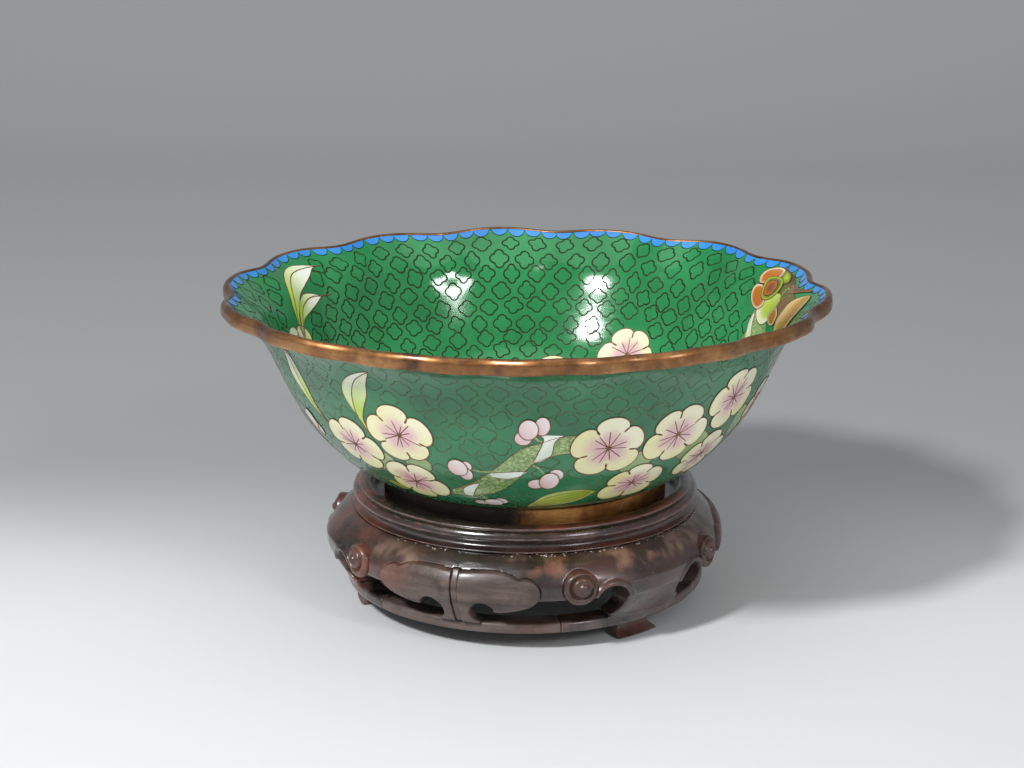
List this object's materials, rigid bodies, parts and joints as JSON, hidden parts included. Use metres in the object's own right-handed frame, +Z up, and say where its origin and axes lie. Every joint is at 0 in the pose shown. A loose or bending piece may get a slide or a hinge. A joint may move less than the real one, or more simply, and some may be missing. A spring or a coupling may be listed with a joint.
{
  "type": "bowl on carved stand",
  "caption": "Wide scalloped cloisonne enamel bowl with a copper lip, resting in the recess of a round carved hardwood stand with splayed feet.",
  "frame": {"origin": "centre of the stand's underside, on the table", "axes": "+Z up along the axis of the bowl, front towards -Y"},
  "size_m": [0.256, 0.2566, 0.1352],
  "materials": {
    "copper_wall": "spun copper, unseen behind the enamel",
    "rim_copper": "worn polished copper",
    "foot_brass": "tarnished brass",
    "green_enamel_outside": "glossy enamel with wires and blossoms",
    "green_enamel_inside": "glossy enamel with wire diaper",
    "blue_enamel": "glossy enamel",
    "base_enamel": "glossy enamel",
    "dark_hardwood": "semi-gloss dark hardwood with worn red edges",
    "worn_hardwood": "semi-gloss dark hardwood, rubbed"
  },
  "bodies": {
    "stand": {"collar_ring": "dark_hardwood", "leg_section_front_right": "dark_hardwood", "scroll_boss_front_right_leg_left": "worn_hardwood", "scroll_boss_front_right_leg_right": "worn_hardwood", "leg_section_back": "dark_hardwood", "scroll_boss_back_leg_left": "worn_hardwood", "scroll_boss_back_leg_right": "worn_hardwood", "leg_section_left": "dark_hardwood", "scroll_boss_left_leg_left": "worn_hardwood", "scroll_boss_left_leg_right": "worn_hardwood", "seam_key_front": "worn_hardwood", "base_rail_front": "dark_hardwood", "cloud_panel_front_left_half": "dark_hardwood", "cloud_panel_front_right_half": "dark_hardwood", "seam_key_right": "worn_hardwood", "base_rail_right": "dark_hardwood", "cloud_panel_right_left_half": "dark_hardwood", "cloud_panel_right_right_half": "dark_hardwood", "seam_key_back_left": "worn_hardwood", "base_rail_back_left": "dark_hardwood", "cloud_panel_back_left_left_half": "dark_hardwood", "cloud_panel_back_left_right_half": "dark_hardwood"},
    "bowl": {"copper_body": "copper_wall", "rim_band": "rim_copper", "foot_ring": "foot_brass", "outer_enamel": "green_enamel_outside", "inner_enamel": "green_enamel_inside", "blue_rim_enamel": "blue_enamel", "base_enamel": "base_enamel"}
  },
  "joints": [
    {"name": "bowl_lift", "type": "slide", "parent": "stand", "child": "bowl", "axis": [0, 0, 1], "range_m": [0, 0.08]}
  ]
}
